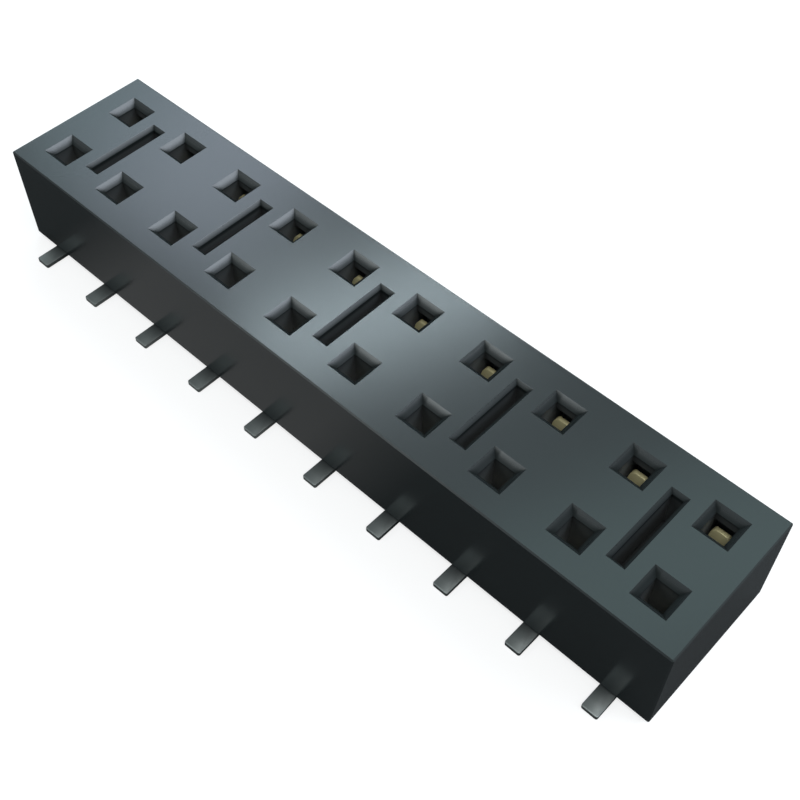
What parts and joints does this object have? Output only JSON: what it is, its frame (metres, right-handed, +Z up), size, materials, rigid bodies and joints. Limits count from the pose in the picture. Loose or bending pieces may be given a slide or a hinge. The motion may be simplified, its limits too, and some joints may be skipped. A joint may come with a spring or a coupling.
{
  "type": "female pin header strip",
  "caption": "Low-profile dual-row surface-mount socket strip: black moulded block with square pin pockets, coring slots, and stamped spring contacts with gull-foot solder tails.",
  "frame": {"origin": "middle of the footprint, on the plane of the solder tails' undersides, which is the top of the circuit board", "axes": "+X along the strip, +Y across the two rows towards the back row, +Z up out of the board towards the mating face"},
  "size_m": [0.0254, 0.0066, 0.0037],
  "materials": {
    "housing": "black glass-filled thermoplastic, smooth as moulded",
    "contact": "stamped copper alloy, matt tin on the solder tails and gold on the spring tips"
  },
  "bodies": {
    "root": {"housing": "housing", "contact_front_01": "contact", "contact_front_02": "contact", "contact_front_03": "contact", "contact_front_04": "contact", "contact_front_05": "contact", "contact_front_06": "contact", "contact_front_07": "contact", "contact_front_08": "contact", "contact_front_09": "contact", "contact_front_10": "contact", "contact_back_01": "contact", "contact_back_02": "contact", "contact_back_03": "contact", "contact_back_04": "contact", "contact_back_05": "contact", "contact_back_06": "contact", "contact_back_07": "contact", "contact_back_08": "contact", "contact_back_09": "contact", "contact_back_10": "contact"}
  },
  "joints": []
}
